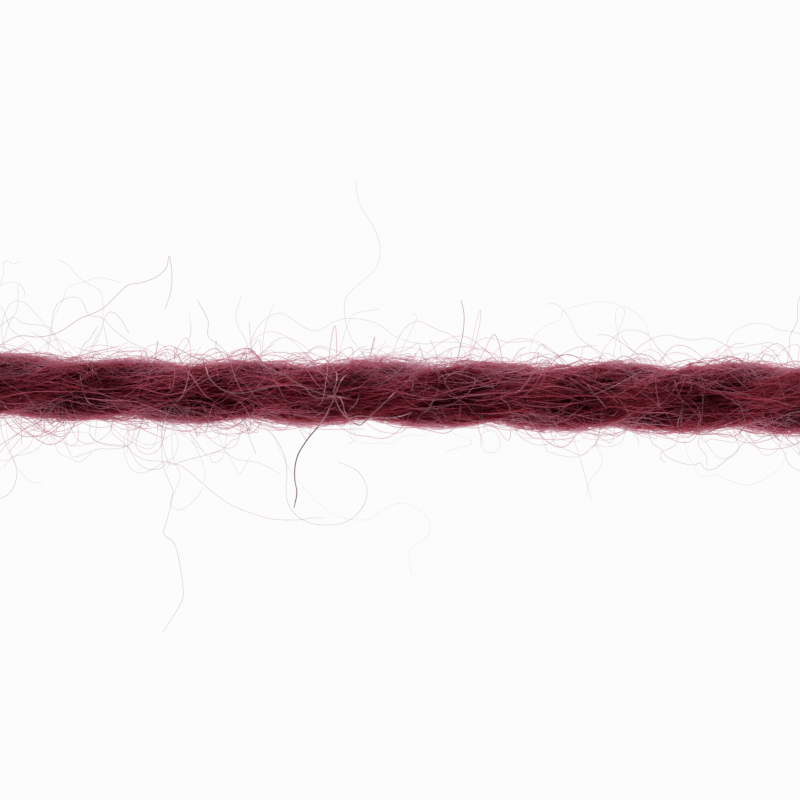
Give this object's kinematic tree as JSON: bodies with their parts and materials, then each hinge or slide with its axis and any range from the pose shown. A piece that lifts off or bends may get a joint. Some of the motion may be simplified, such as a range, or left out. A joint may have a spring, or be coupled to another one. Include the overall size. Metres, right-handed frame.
{
  "type": "strand of plied wool yarn",
  "caption": "Short straight strand of fuzzy plied wool yarn with helical ply grooves, cut square at both ends and lying flat.",
  "frame": {"origin": "middle of the strand's box, on the surface that it lies on", "axes": "+X along the strand, to the right in the picture; +Y up in the picture, level with the surface; +Z up from the surface, towards the viewer"},
  "size_m": [0.04, 0.0032, 0.0028],
  "materials": {
    "wool": "matte fuzzy burgundy wool, with a soft halo of stray fibres"
  },
  "bodies": {
    "root": {"yarn_strand": "wool"}
  },
  "joints": []
}
